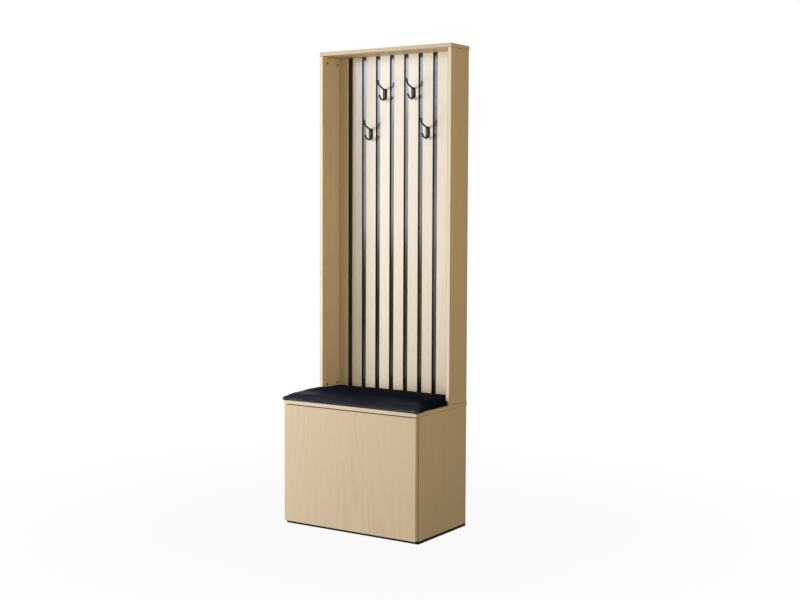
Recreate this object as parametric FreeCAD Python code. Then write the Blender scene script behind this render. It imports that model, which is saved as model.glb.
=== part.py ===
import FreeCAD
import Part
import math
import os

# Hall stand with bench: a drawer cabinet with an upholstered seat, and an open coat niche above it.
# Millimetres. X to the right, Y to the back, Z up. The origin is on the floor, under the middle of the part.

# Overall sizes
WIDTH = 600.0
DEPTH = 360.0
HEIGHT = 1820.0
BENCH_HEIGHT = 480.0
UPPER_DEPTH = 132.0

# Boards and sheets
BOARD = 15.0
EDGE_RADIUS = 0.8
BACK_SHEET = 3.0
BACK_SHEET_INSET = 2.0
BACK_MARGIN = 1.0

# Black strips that the cabinet stands on
BASE_HEIGHT = 10.0
BASE_STRIP = 15.0

# Drawer front and the gaps round it
FRONT_TOP_GAP = 3.0
FRONT_SIDE_GAP = 2.0
FRONT_FOOT_GAP = 2.0
FRONT_PUSH_GAP = 2.0

# Drawer box
DRAWER_BOARD = 12.0
DRAWER_HEIGHT = 320.0
DRAWER_LIFT = 15.0
DRAWER_BOTTOM = 3.0
DRAWER_BOTTOM_RISE = 12.0
GROOVE_DEPTH = 6.0
GROOVE_FIT = 0.2

# Telescopic runners
RUNNER_HEIGHT = 45.0
RUNNER_THICKNESS = 12.7
RUNNER_GAUGE = 1.2
RUNNER_FIT = 0.4
RUNNER_RISE = 60.0
RUNNER_SETBACK = 2.0
RUNNER_MIDDLE_WEB = 4.0
RUNNER_LIP = 2.0
RUNNER_SCREW_INSET = 40.0
RUNNER_SCREWS = 3

# Push latches behind the drawer
LATCH_X = 150.0
LATCH_WIDTH = 24.0
LATCH_HEIGHT = 38.0
LATCH_LENGTH = 30.0
LATCH_BACK_GAP = 2.0
LATCH_STANDOFF = 4.0
LATCH_FLANGE = 4.0
LATCH_EAR = 12.0
LATCH_BORE_RISE = 27.0
PLUNGER_DIAMETER = 8.0
PLUNGER_LENGTH = 25.0
PLUNGER_FIT = 0.05
PLUNGER_GAP = 0.3
PLUNGER_STROKE = 3.0
STRIKE_SIZE = 20.0
STRIKE_THICKNESS = 1.0

# Slatted back of the niche
SLAT_COUNT = 9
SLAT_GAP = 20.0
SLAT_THICKNESS = 6.0
SLAT_BOARD = 12.0
SLAT_SCREW_SLAT_COUNT = 3
WALL_HOLE_DIAMETER = 5.0
WALL_HOLE_DROP = 35.0

# Coat hooks: two rows, placed down from the top panel, and a count of slats out from the middle one
UPPER_HOOK_DROP = 149.0
UPPER_HOOK_SLAT_COUNT = 1
LOWER_HOOK_DROP = 301.0
LOWER_HOOK_SLAT_COUNT = 2

# One hook, measured forward from the slat and up or down from the middle of the base plate
HOOK_PLATE_WIDTH = 18.0
HOOK_PLATE_HEIGHT = 42.0
HOOK_PLATE_THICKNESS = 4.5
HOOK_DOME_ACROSS = 2.5
HOOK_DOME_ALONG = 1.0
HOOK_ROD = 6.5
HOOK_BALL = 9.0
HOOK_ROOT_RISE = 15.0
HOOK_ROOT_DEPTH = 1.5
HOOK_FLARE = 0.8
HOOK_FLARE_REACH = 13.0
PRONG_BEND = (34.0, 28.0)
PRONG_TIP = (49.0, 47.0)
CUP_LOW = (18.0, -22.5)
CUP_TURN = (32.0, -17.0)
CUP_TIP = (38.5, -9.0)
HOOK_SCREW_SPACING = 12.0

# Seat
SEAT_INSET = 1.0
SEAT_GAP = 0.5
SEAT_EDGE = 15.0
SEAT_CROWN = 32.0
SEAT_END_CROWN = 20.0
SEAT_DRAW = 3.0
SEAT_CORNER = 12.0
SEAT_BOARD = 5.0
SEAT_WRAP = 8.0
SEAT_BOARD_FIT = 0.3

# Fasteners
FASTENER_FIT = 0.1
CAM_DIAMETER = 10.0
CAM_DEPTH = 12.0
CAM_RECESS = 7.0
CAM_RECESS_WIDTH = 1.6
CAM_RECESS_DEPTH = 2.5
CAM_FROM_TOP = 25.0
CAM_FROM_BENCH = 31.0
UPPER_CAM_FRONT = 32.0
UPPER_CAM_BACK = 11.0
CABINET_CAM_INSET = 50.0
BOLT_DIAMETER = 6.0
BOLT_THREAD = 7.0
DOWEL_DIAMETER = 8.0
DOWEL_IN_FACE = 7.0
DOWEL_IN_END = 18.0
HOOK_SCREW = (3.0, 12.0)
NAIL = (1.8, 18.0)
SLAT_BOARD_SCREW = (3.0, 9.0)
BASE_SCREW = (4.0, 21.0)
BASE_SCREW_SINK = 1.0
RUNNER_SCREW = (3.5, 10.5)
DRAWER_BOX_SCREW = (4.0, 38.0)
DRAWER_FRONT_SCREW = (4.0, 22.0)
LATCH_SCREW = (3.0, 13.0)
SCREW_INSET = 60.0
NAIL_INSET = 30.0
UPPER_NAILS = 6
LOWER_NAILS = 3

# Places that follow from the sizes
half_width = WIDTH / 2
inner = half_width - BOARD
front_face = -DEPTH / 2
rear_face = DEPTH / 2
rear_edge = rear_face - BACK_SHEET - BACK_MARGIN
sheet_rear = rear_edge + BACK_SHEET
front_back = front_face + BOARD
carcass_front = front_back + FRONT_PUSH_GAP
bench_under = BENCH_HEIGHT - BOARD
top_under = HEIGHT - BOARD
floor_top = BASE_HEIGHT + BOARD
upper_front = rear_face - UPPER_DEPTH
slat_rear = rear_edge - SLAT_BOARD
slat_face = slat_rear - SLAT_THICKNESS
slat_width = (2 * inner - (SLAT_COUNT - 1) * SLAT_GAP) / SLAT_COUNT
slat_pitch = slat_width + SLAT_GAP
drawer_half = inner - RUNNER_THICKNESS
drawer_inside = drawer_half - DRAWER_BOARD
drawer_low = floor_top + DRAWER_LIFT
drawer_high = drawer_low + DRAWER_HEIGHT
runner_middle = drawer_low + RUNNER_RISE
runner_front = carcass_front + RUNNER_SETBACK
latch_rear = rear_edge - LATCH_BACK_GAP
latch_front = latch_rear - LATCH_LENGTH
strike_rear = latch_front - LATCH_STANDOFF
drawer_rear = strike_rear - STRIKE_THICKNESS
latch_bore = floor_top + LATCH_BORE_RISE

SIDES = {"left": -1, "right": 1}
ALONG = {"x": FreeCAD.Vector(1, 0, 0), "y": FreeCAD.Vector(0, 1, 0), "z": FreeCAD.Vector(0, 0, 1)}


def box(x, y, z):
    """A plain block between pairs of limits on X, Y and Z, each pair in either order."""
    low = FreeCAD.Vector(min(x), min(y), min(z))
    high = FreeCAD.Vector(max(x), max(y), max(z))
    size = high - low
    return Part.makeBox(size.x, size.y, size.z, low)


def board(x, y, z):
    """A flat board or sheet with all its edges eased."""
    blank = box(x, y, z)
    bounds = blank.BoundBox
    thinnest = min(bounds.XLength, bounds.YLength, bounds.ZLength)
    return blank.makeFillet(min(EDGE_RADIUS, thinnest / 3), blank.Edges)


def pin(start, direction, diameter, length):
    """A round pin from a start point along a direction."""
    return Part.makeCylinder(diameter / 2, length, FreeCAD.Vector(start), direction)


def spread(low, high, count):
    """Evenly spaced places from low to high."""
    return [low + (high - low) * step / (count - 1) for step in range(count)]


def screw(surface, direction, size, sink, fit):
    """A countersunk screw or nail, driven from a surface until its head is sunk below it."""
    diameter, length = size
    radius = diameter / 2
    start = FreeCAD.Vector(surface) + direction * sink
    shank = pin(start, direction, diameter + 2 * fit, length + fit)
    head = Part.makeCone(diameter + fit, radius + fit, radius, start, direction)
    driven = shank.fuse(head)
    if fit and sink:
        driven = driven.fuse(pin(surface, direction, 2 * (diameter + fit), sink))
    return driven.removeSplitter()


def cam(centre, into, toward, reach, fit):
    """The round cam of a cam joint, let into a board's face, with a cross recess for the screwdriver."""
    drum = pin(centre, into, CAM_DIAMETER + 2 * fit, CAM_DEPTH + fit)
    if fit:
        return drum
    sideways = into.cross(toward)
    for blade, width in ((toward, sideways), (sideways, toward)):
        corner = blade * (CAM_RECESS / 2) + width * (CAM_RECESS_WIDTH / 2)
        far = corner + into * CAM_RECESS_DEPTH
        one = FreeCAD.Vector(centre) - corner
        other = FreeCAD.Vector(centre) + far
        drum = drum.cut(box((one.x, other.x), (one.y, other.y), (one.z, other.z)))
    return drum


def cam_bolt(centre, into, toward, reach, fit):
    """The bolt of a cam joint, from beside the cam out of the board's end and into the next board."""
    clear = CAM_DIAMETER / 2 + FASTENER_FIT - fit
    start = FreeCAD.Vector(centre) + into * (BOARD / 2) + toward * clear
    return pin(start, toward, BOLT_DIAMETER + 2 * fit, reach - clear + BOLT_THREAD + fit)


def dowel(end_face, toward, fit):
    """A wooden dowel across a joint: deep in one board's end, shallow in the other board's face."""
    start = FreeCAD.Vector(end_face) - toward * (DOWEL_IN_END + fit)
    return pin(start, toward, DOWEL_DIAMETER + 2 * fit, DOWEL_IN_END + DOWEL_IN_FACE + 2 * fit)


def upper_cam_joints():
    """Cam joints from the niche's side panels up into the top and down into the bench."""
    joints = []
    for side in SIDES.values():
        for y in (upper_front + UPPER_CAM_FRONT, slat_face - UPPER_CAM_BACK):
            high = (side * inner, y, top_under - CAM_FROM_TOP)
            low = (side * inner, y, BENCH_HEIGHT + CAM_FROM_BENCH)
            joints.append((high, ALONG["x"] * side, ALONG["z"], CAM_FROM_TOP))
            joints.append((low, ALONG["x"] * side, -ALONG["z"], CAM_FROM_BENCH))
    return joints


def cabinet_cam_joints():
    """Cam joints from the cabinet's sides up into the bench top, and from its floor out into the sides."""
    joints = []
    for side in SIDES.values():
        for y in (carcass_front + CABINET_CAM_INSET, rear_edge - CABINET_CAM_INSET):
            in_side = (side * inner, y, bench_under - CAM_FROM_TOP)
            in_floor = (side * (inner - CAM_FROM_TOP), y, BASE_HEIGHT)
            joints.append((in_side, ALONG["x"] * side, ALONG["z"], CAM_FROM_TOP))
            joints.append((in_floor, ALONG["z"], ALONG["x"] * side, CAM_FROM_TOP))
    return joints


def dowel_joints():
    """Dowels beside the cam joints, between each upright board and the board over or under it."""
    upper_middle = (upper_front + UPPER_CAM_FRONT + slat_face - UPPER_CAM_BACK) / 2
    cabinet_middle = (carcass_front + rear_edge) / 2
    joints = []
    for side in SIDES.values():
        x = side * (inner + BOARD / 2)
        joints.append(((x, upper_middle, top_under), ALONG["z"]))
        joints.append(((x, upper_middle, BENCH_HEIGHT), -ALONG["z"]))
        joints.append(((x, cabinet_middle, bench_under), ALONG["z"]))
    return joints


def hook_places():
    """Each hook's name and the middle of its base plate on the face of its slat."""
    rows = {"upper": (UPPER_HOOK_DROP, UPPER_HOOK_SLAT_COUNT),
            "lower": (LOWER_HOOK_DROP, LOWER_HOOK_SLAT_COUNT)}
    places = {}
    for row, (drop, slat_count) in rows.items():
        for name, side in SIDES.items():
            x = side * slat_count * slat_pitch
            places["hook_" + row + "_" + name] = FreeCAD.Vector(x, slat_face, top_under - drop)
    return places


def hook_screws(fit):
    """Two screws through each hook's plate into its slat."""
    screws = []
    for place in hook_places().values():
        for rise in (-HOOK_SCREW_SPACING / 2, HOOK_SCREW_SPACING / 2):
            surface = place + FreeCAD.Vector(0, -HOOK_PLATE_THICKNESS, rise)
            screws.append(screw(surface, ALONG["y"], HOOK_SCREW, 0, fit))
    return screws


def back_nails(fit):
    """Nails through the back sheets into the rear edges of the upright boards."""
    upper = spread(BENCH_HEIGHT + NAIL_INSET, top_under - NAIL_INSET, UPPER_NAILS)
    lower = spread(floor_top + NAIL_INSET, bench_under - NAIL_INSET, LOWER_NAILS)
    nails = []
    for side in SIDES.values():
        for z in upper + lower:
            surface = (side * (inner + BOARD / 2), sheet_rear, z)
            nails.append(screw(surface, -ALONG["y"], NAIL, 0, fit))
    return nails


def slat_board_screws(fit):
    """Screws through the upper back sheet that hold the slat board, each behind a slat."""
    reach = SLAT_SCREW_SLAT_COUNT * slat_pitch
    screws = []
    for x in (-reach, 0, reach):
        for z in (BENCH_HEIGHT + SCREW_INSET, top_under - SCREW_INSET):
            screws.append(screw((x, sheet_rear, z), -ALONG["y"], SLAT_BOARD_SCREW, 0, fit))
    return screws


def base_screws(fit):
    """Screws up through the base strips into the boards that stand on them."""
    strip_middle = BASE_STRIP / 2
    places = []
    for side in SIDES.values():
        across = side * (half_width - strip_middle)
        places += [(across, y, 0) for y in (carcass_front + SCREW_INSET, rear_edge - SCREW_INSET)]
        along = side * (inner - 2 * SCREW_INSET)
        places += [(along, y, 0) for y in (carcass_front + strip_middle, rear_edge - strip_middle)]
    return [screw(place, ALONG["z"], BASE_SCREW, BASE_SCREW_SINK, fit) for place in places]


def runner_screws(face, outward, fit):
    """Screws through a runner member's web, from the given distance off the middle, on both sides."""
    first = runner_front + RUNNER_SCREW_INSET
    last = drawer_rear - RUNNER_SCREW_INSET
    screws = []
    for side in SIDES.values():
        for y in spread(first, last, RUNNER_SCREWS):
            surface = (side * face, y, runner_middle)
            screws.append(screw(surface, ALONG["x"] * side * outward, RUNNER_SCREW, 0, fit))
    return screws


def cabinet_runner_screws(fit):
    """Screws that hold the outer runner members to the cabinet's sides."""
    return runner_screws(inner - RUNNER_GAUGE, 1, fit)


def drawer_runner_screws(fit):
    """Screws that hold the inner runner members to the drawer's sides."""
    return runner_screws(drawer_half + RUNNER_GAUGE, -1, fit)


def drawer_screws(fit):
    """Screws at the drawer box's corners, and those that hold the front panel from inside."""
    heights = (runner_middle + SCREW_INSET, drawer_high - SCREW_INSET)
    board_middle = DRAWER_BOARD / 2
    screws = []
    for side in SIDES.values():
        for z in heights:
            for y in (front_back + board_middle, drawer_rear - board_middle):
                surface = (side * drawer_half, y, z)
                screws.append(screw(surface, -ALONG["x"] * side, DRAWER_BOX_SCREW, 0, fit))
            surface = (side * (drawer_inside - SCREW_INSET), front_back + DRAWER_BOARD, z)
            screws.append(screw(surface, -ALONG["y"], DRAWER_FRONT_SCREW, 0, fit))
    return screws


def latch_screws(fit):
    """Two screws through each push latch's ears into the cabinet floor."""
    screws = []
    for side in SIDES.values():
        for ear in SIDES.values():
            x = side * LATCH_X + ear * (LATCH_WIDTH + LATCH_EAR) / 2
            surface = (x, latch_front + LATCH_LENGTH / 2, floor_top + LATCH_FLANGE)
            screws.append(screw(surface, -ALONG["z"], LATCH_SCREW, 0, fit))
    return screws


def fasteners(fit):
    """Every group of fasteners by node name, each swollen by the fit when it is to cut its own holes."""
    cam_joints = {"upper": upper_cam_joints(), "cabinet": cabinet_cam_joints()}
    groups = {}
    for unit, joints in cam_joints.items():
        groups[unit + "_cams"] = [cam(*joint, fit) for joint in joints]
        groups[unit + "_cam_bolts"] = [cam_bolt(*joint, fit) for joint in joints]
    groups["dowels"] = [dowel(*joint, fit) for joint in dowel_joints()]
    groups["hook_screws"] = hook_screws(fit)
    groups["back_nails"] = back_nails(fit)
    groups["slat_board_screws"] = slat_board_screws(fit)
    groups["base_screws"] = base_screws(fit)
    groups["cabinet_runner_screws"] = cabinet_runner_screws(fit)
    groups["drawer_runner_screws"] = drawer_runner_screws(fit)
    groups["drawer_screws"] = drawer_screws(fit)
    groups["latch_screws"] = latch_screws(fit)
    return groups


def cabinet():
    """Base strips, sides, floor, back sheet and bench top."""
    nodes = {}
    inside_strips = (BASE_STRIP - half_width, half_width - BASE_STRIP)
    strip = (0, BASE_HEIGHT)
    carcass = (carcass_front, rear_edge)
    nodes["base_strip_front"] = board(inside_strips, (carcass_front, carcass_front + BASE_STRIP), strip)
    nodes["base_strip_back"] = board(inside_strips, (rear_edge - BASE_STRIP, rear_edge), strip)
    for name, side in SIDES.items():
        under = (side * (half_width - BASE_STRIP), side * half_width)
        upright = (side * inner, side * half_width)
        nodes["base_strip_" + name] = board(under, carcass, strip)
        nodes["cabinet_" + name + "_side"] = board(upright, carcass, (BASE_HEIGHT, bench_under))
    nodes["cabinet_floor"] = board((-inner, inner), carcass, (BASE_HEIGHT, floor_top))
    sheet_x = (BACK_SHEET_INSET - half_width, half_width - BACK_SHEET_INSET)
    sheet_z = (BASE_HEIGHT, bench_under)
    nodes["cabinet_back_sheet"] = board(sheet_x, (rear_edge, sheet_rear), sheet_z)
    whole_x = (-half_width, half_width)
    nodes["bench_top"] = board(whole_x, (front_face, rear_face), (bench_under, BENCH_HEIGHT))
    return nodes


def drawer_bottom(fit):
    """The drawer's bottom sheet, which runs into grooves in the four boards round it."""
    reach = GROOVE_DEPTH - GROOVE_FIT + fit
    x = (-drawer_inside - reach, drawer_inside + reach)
    y = (front_back + DRAWER_BOARD - reach, drawer_rear - DRAWER_BOARD + reach)
    low = drawer_low + DRAWER_BOTTOM_RISE
    return box(x, y, (low - fit, low + DRAWER_BOTTOM + fit))


def drawer():
    """The drawer's front panel and its box."""
    nodes = {}
    height = (drawer_low, drawer_high)
    between = (-drawer_inside, drawer_inside)
    front_x = (FRONT_SIDE_GAP - half_width, half_width - FRONT_SIDE_GAP)
    front_z = (BASE_HEIGHT + FRONT_FOOT_GAP, bench_under - FRONT_TOP_GAP)
    groove = drawer_bottom(GROOVE_FIT)
    nodes["drawer_front"] = board(front_x, (front_face, front_back), front_z)
    ends = {"drawer_inner_front": (front_back, front_back + DRAWER_BOARD),
            "drawer_back": (drawer_rear - DRAWER_BOARD, drawer_rear)}
    for name, y in ends.items():
        nodes[name] = board(between, y, height).cut(groove)
    for name, side in SIDES.items():
        x = (side * drawer_inside, side * drawer_half)
        nodes["drawer_" + name + "_side"] = board(x, (front_back, drawer_rear), height).cut(groove)
    nodes["drawer_bottom"] = drawer_bottom(0)
    return nodes


def channel(web_x, lip_x, half_height):
    """Thin channel as long as the drawer: an upright web, with a flange along its top and bottom."""
    y = (runner_front, drawer_rear)
    step = RUNNER_GAUGE if lip_x > web_x else -RUNNER_GAUGE
    outside = box((web_x, lip_x), y, (runner_middle - half_height, runner_middle + half_height))
    clear = half_height - RUNNER_GAUGE
    inside = box((web_x + step, lip_x + step), y, (runner_middle - clear, runner_middle + clear))
    return outside.cut(inside)


def runners():
    """Outer, middle and inner member of the telescopic runner on each side, one inside the other."""
    nodes = {}
    outer_half = RUNNER_HEIGHT / 2
    middle_half = outer_half - RUNNER_GAUGE - RUNNER_FIT
    inner_half = middle_half - RUNNER_GAUGE - RUNNER_FIT
    middle_web = inner - RUNNER_MIDDLE_WEB
    for name, side in SIDES.items():
        outer_lip = drawer_half + RUNNER_LIP
        inner_lip = middle_web - RUNNER_GAUGE - RUNNER_FIT
        nodes[name + "_runner_outer"] = channel(side * inner, side * outer_lip, outer_half)
        nodes[name + "_runner_middle"] = channel(side * middle_web, side * outer_lip, middle_half)
        nodes[name + "_runner_inner"] = channel(side * drawer_half, side * inner_lip, inner_half)
    return nodes


def latch_body(x):
    """A push latch's housing: a block with a blind bore, on two ears screwed to the cabinet floor."""
    y = (latch_front, latch_rear)
    block = board((x - LATCH_WIDTH / 2, x + LATCH_WIDTH / 2), y, (floor_top, floor_top + LATCH_HEIGHT))
    ears_half = LATCH_WIDTH / 2 + LATCH_EAR
    ears = board((x - ears_half, x + ears_half), y, (floor_top, floor_top + LATCH_FLANGE))
    plunger_rear = strike_rear + PLUNGER_GAP + PLUNGER_LENGTH
    depth = plunger_rear + PLUNGER_STROKE + PLUNGER_GAP - latch_front
    bore = pin((x, latch_front, latch_bore), ALONG["y"], PLUNGER_DIAMETER + 2 * PLUNGER_FIT, depth)
    return block.fuse(ears).cut(bore).removeSplitter()


def latches():
    """A housing and a sprung plunger on each side, and the steel plates on the drawer that they push."""
    nodes = {}
    plates = []
    for name, side in SIDES.items():
        x = side * LATCH_X
        nodes[name + "_latch_body"] = latch_body(x)
        tip = strike_rear + PLUNGER_GAP
        plunger = pin((x, tip, latch_bore), ALONG["y"], PLUNGER_DIAMETER, PLUNGER_LENGTH)
        nodes[name + "_latch_plunger"] = plunger.makeFillet(EDGE_RADIUS, plunger.Edges)
        plate_x = (x - STRIKE_SIZE / 2, x + STRIKE_SIZE / 2)
        plate_z = (latch_bore - STRIKE_SIZE / 2, latch_bore + STRIKE_SIZE / 2)
        plates.append(box(plate_x, (drawer_rear, strike_rear), plate_z))
    nodes["latch_strikes"] = Part.makeCompound(plates)
    return nodes


def wall_holes():
    """Holes for wall screws through the slat board and the sheet behind it, in the outermost grooves."""
    reach = inner - slat_width - SLAT_GAP / 2
    z = top_under - WALL_HOLE_DROP
    starts = [(side * reach, slat_rear, z) for side in SIDES.values()]
    return [pin(start, ALONG["y"], WALL_HOLE_DIAMETER, rear_face - slat_rear) for start in starts]


def niche():
    """Side panels, top, back sheet, slat board and slats of the coat niche."""
    nodes = {}
    upright = (BENCH_HEIGHT, top_under)
    for name, side in SIDES.items():
        x = (side * inner, side * half_width)
        nodes["upper_" + name + "_panel"] = board(x, (upper_front, rear_edge), upright)
    whole_x = (-half_width, half_width)
    nodes["upper_top_panel"] = board(whole_x, (upper_front, rear_face), (top_under, HEIGHT))
    holes = Part.makeCompound(wall_holes())
    sheet_x = (BACK_SHEET_INSET - half_width, half_width - BACK_SHEET_INSET)
    nodes["upper_back_sheet"] = board(sheet_x, (rear_edge, sheet_rear), upright).cut(holes)
    nodes["slat_board"] = board((-inner, inner), (slat_rear, rear_edge), upright).cut(holes)
    for number in range(SLAT_COUNT):
        left = number * slat_pitch - inner
        x = (left, left + slat_width)
        nodes["slat_" + str(number + 1)] = board(x, (slat_face, slat_rear), upright)
    return nodes


def tangent_arc(start, heading, end):
    """An arc that leaves a point along a heading and passes through another point."""
    chord = end - start
    turn = heading.getAngle(chord)
    across = heading - chord * (heading.dot(chord) / chord.dot(chord))
    across.normalize()
    middle = (start + end) * 0.5 + across * (chord.Length / 2 * math.tan(turn / 2))
    return Part.Arc(start, middle, end).toShape()


def hook_plate(place):
    """A hook's oval base plate, its front domed across its width and along its height."""
    half = HOOK_PLATE_WIDTH / 2
    tall = HOOK_PLATE_HEIGHT / 2
    rise = FreeCAD.Vector(0, 0, tall - half)
    high = place + rise
    low = place - rise
    front = place.y - HOOK_PLATE_THICKNESS
    middle = box((place.x - half, place.x + half), (front, place.y), (low.z, high.z))
    ends = [pin(end, -ALONG["y"], HOOK_PLATE_WIDTH, HOOK_PLATE_THICKNESS) for end in (low, high)]
    oval = middle.fuse(ends).removeSplitter()
    across = (half ** 2 + HOOK_DOME_ACROSS ** 2) / (2 * HOOK_DOME_ACROSS)
    along = (tall ** 2 + HOOK_DOME_ALONG ** 2) / (2 * HOOK_DOME_ALONG)
    upright = pin((place.x, front + across, place.z - tall), ALONG["z"], 2 * across, 2 * tall)
    level = pin((place.x - half, front + along, place.z), ALONG["x"], 2 * along, 2 * half)
    return oval.common(upright).common(level)


def hook_arm(edges, tip):
    """A round rod along joined edges, thickened where it leaves the plate, with a ball on its end."""
    path = Part.Wire(edges)
    first = path.Edges[0]
    root = first.valueAt(first.FirstParameter)
    heading = first.tangentAt(first.FirstParameter)
    section = Part.Wire(Part.makeCircle(HOOK_ROD / 2, root, heading))
    rod = path.makePipeShell([section], True, False)
    flare = Part.makeCone(HOOK_ROD / 2 + HOOK_FLARE, HOOK_ROD / 2, HOOK_FLARE_REACH, root, heading)
    return rod.fuse([flare, Part.makeSphere(HOOK_BALL / 2, tip)])


def hook(place):
    """A double coat hook: an oval plate, a prong that rises forward, and a cup below it."""

    def at(point):
        """A point given forward and up from the middle of the plate."""
        forward, rise = point
        return place + FreeCAD.Vector(0, -forward, rise)

    prong_root = at((HOOK_ROOT_DEPTH, HOOK_ROOT_RISE))
    prong_bend = at(PRONG_BEND)
    rising = Part.LineSegment(prong_root, prong_bend).toShape()
    lifting = tangent_arc(prong_bend, prong_bend - prong_root, at(PRONG_TIP))
    prong = hook_arm([rising, lifting], at(PRONG_TIP))

    cup_root = at((HOOK_ROOT_DEPTH, -HOOK_ROOT_RISE))
    dip = Part.Arc(cup_root, at(CUP_LOW), at(CUP_TURN)).toShape()
    heading = dip.tangentAt(dip.LastParameter)
    lift = tangent_arc(at(CUP_TURN), heading, at(CUP_TIP))
    cup = hook_arm([dip, lift], at(CUP_TIP))

    reach = HOOK_PLATE_HEIGHT
    behind_x = (place.x - reach, place.x + reach)
    behind = box(behind_x, (place.y, place.y + reach), (place.z - reach, place.z + reach))
    return hook_plate(place).fuse([prong, cup]).cut(behind).removeSplitter()


def hooks():
    """The four coat hooks."""
    return {name: hook(place) for name, place in hook_places().items()}


def seat_outline(inset, draw):
    """The seat's outline on the bench, notched round the niche's side panels, its free sides drawn in."""
    side = half_width - SEAT_INSET - inset
    front = front_face + SEAT_INSET + inset
    notch = upper_front - SEAT_GAP - inset
    waist = inner - SEAT_GAP - inset
    back = slat_face - SEAT_GAP - inset

    def at(x, y):
        """A point of the outline on the bench top."""
        return FreeCAD.Vector(x, y, BENCH_HEIGHT)

    corners = [at(-side, notch), at(-side, front), at(side, front), at(side, notch)]
    pulls = [at(draw - side, (front + notch) / 2), at(0, front + draw), at(side - draw, (front + notch) / 2)]
    edges = []
    for start, pull, end in zip(corners, pulls, corners[1:]):
        edge = Part.Arc(start, pull, end) if draw else Part.LineSegment(start, end)
        edges.append(edge.toShape())
    right = [at(side, notch), at(waist, notch), at(waist, back)]
    left = [at(-waist, back), at(-waist, notch), at(-side, notch)]
    rear = right + left
    edges += [Part.LineSegment(start, end).toShape() for start, end in zip(rear, rear[1:])]
    return Part.Wire(edges)


def seat_prism(inset, draw, height):
    """The seat's outline carried straight up, with its two front corners rounded."""
    prism = Part.Face(seat_outline(inset, draw)).extrude(ALONG["z"] * height)
    upright = [edge for edge in prism.Edges if edge.BoundBox.ZLength > height / 2]
    foremost = front_face + SEAT_INSET + inset + SEAT_CORNER
    front = [edge for edge in upright if edge.BoundBox.YMax < foremost]
    return prism.makeFillet(SEAT_CORNER, front)


def crown_section(x, height):
    """One cross-section of the seat: flat below, upright at front and back, arched over the top."""
    edge_z = BENCH_HEIGHT + SEAT_EDGE
    low_front = FreeCAD.Vector(x, front_face, BENCH_HEIGHT)
    high_front = FreeCAD.Vector(x, front_face, edge_z)
    middle = FreeCAD.Vector(x, (front_face + slat_face) / 2, BENCH_HEIGHT + height)
    high_back = FreeCAD.Vector(x, slat_face, edge_z)
    low_back = FreeCAD.Vector(x, slat_face, BENCH_HEIGHT)
    edges = [Part.LineSegment(low_front, high_front).toShape(),
             Part.Arc(high_front, middle, high_back).toShape(),
             Part.LineSegment(high_back, low_back).toShape(),
             Part.LineSegment(low_back, low_front).toShape()]
    return Part.Wire(edges)


def seat():
    """The seat's plywood board, and the crowned cushion that is pulled down round it."""
    sections = [crown_section(-half_width, SEAT_END_CROWN), crown_section(0, SEAT_CROWN),
                crown_section(half_width, SEAT_END_CROWN)]
    crown = Part.makeLoft(sections, True, False)
    cushion = crown.common(seat_prism(0, SEAT_DRAW, SEAT_CROWN))
    pocket = seat_prism(SEAT_WRAP, 0, SEAT_BOARD + SEAT_BOARD_FIT)
    seat_board = seat_prism(SEAT_WRAP + SEAT_BOARD_FIT, 0, SEAT_BOARD)
    return {"seat_board": seat_board, "seat_cushion": cushion.cut(pocket)}


def drilled(shape, holes):
    """A shape with every hole that reaches it cut out."""
    reaching = [hole for hole in holes if hole.BoundBox.intersect(shape.BoundBox)]
    return shape.cut(Part.makeCompound(reaching)) if reaching else shape


def single(shape):
    """The one solid inside a shape, without the compound round it, or the shape of several solids."""
    return shape.Solids[0] if len(shape.Solids) == 1 else shape


os.makedirs("parts", exist_ok=True)
holes = [hole for group in fasteners(FASTENER_FIT).values() for hole in group]
pieces = {}
for unit in (cabinet(), drawer(), runners(), latches(), niche(), hooks(), seat()):
    pieces.update({name: drilled(shape, holes) for name, shape in unit.items()})
pieces.update({name: Part.makeCompound(group) for name, group in fasteners(0).items()})
for name, shape in pieces.items():
    single(shape).exportStep("parts/" + name + ".step")
    print(name, len(shape.Solids), shape.isValid(), round(shape.Volume))
print(len(pieces), "nodes")
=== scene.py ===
"""Looks of the hall stand: the finish of every board, slat, hook and fitting, its padded seat, a studio."""
import math

import bmesh
import bpy
import numpy as np
from mathutils import Matrix, Vector


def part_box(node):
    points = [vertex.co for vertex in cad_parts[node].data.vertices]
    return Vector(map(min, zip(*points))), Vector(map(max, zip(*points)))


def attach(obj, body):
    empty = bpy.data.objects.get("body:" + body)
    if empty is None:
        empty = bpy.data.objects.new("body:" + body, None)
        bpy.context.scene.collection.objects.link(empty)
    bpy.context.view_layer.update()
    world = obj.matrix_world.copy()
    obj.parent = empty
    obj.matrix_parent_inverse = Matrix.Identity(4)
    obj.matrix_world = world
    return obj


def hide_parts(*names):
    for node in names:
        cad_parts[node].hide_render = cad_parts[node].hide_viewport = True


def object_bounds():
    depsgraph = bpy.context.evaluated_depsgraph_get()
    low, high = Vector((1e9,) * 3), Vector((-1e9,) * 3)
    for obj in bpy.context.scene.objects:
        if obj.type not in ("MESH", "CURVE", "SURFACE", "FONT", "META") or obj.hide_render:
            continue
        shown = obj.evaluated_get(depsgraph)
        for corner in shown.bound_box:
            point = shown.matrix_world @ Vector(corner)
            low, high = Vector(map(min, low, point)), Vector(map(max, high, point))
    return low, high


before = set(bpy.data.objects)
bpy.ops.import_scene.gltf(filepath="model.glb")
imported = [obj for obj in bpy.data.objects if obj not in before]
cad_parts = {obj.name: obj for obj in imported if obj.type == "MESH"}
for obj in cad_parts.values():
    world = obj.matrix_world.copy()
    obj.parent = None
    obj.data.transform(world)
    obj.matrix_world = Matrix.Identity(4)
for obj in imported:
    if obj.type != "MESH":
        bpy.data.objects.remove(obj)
cad_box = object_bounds()


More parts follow.
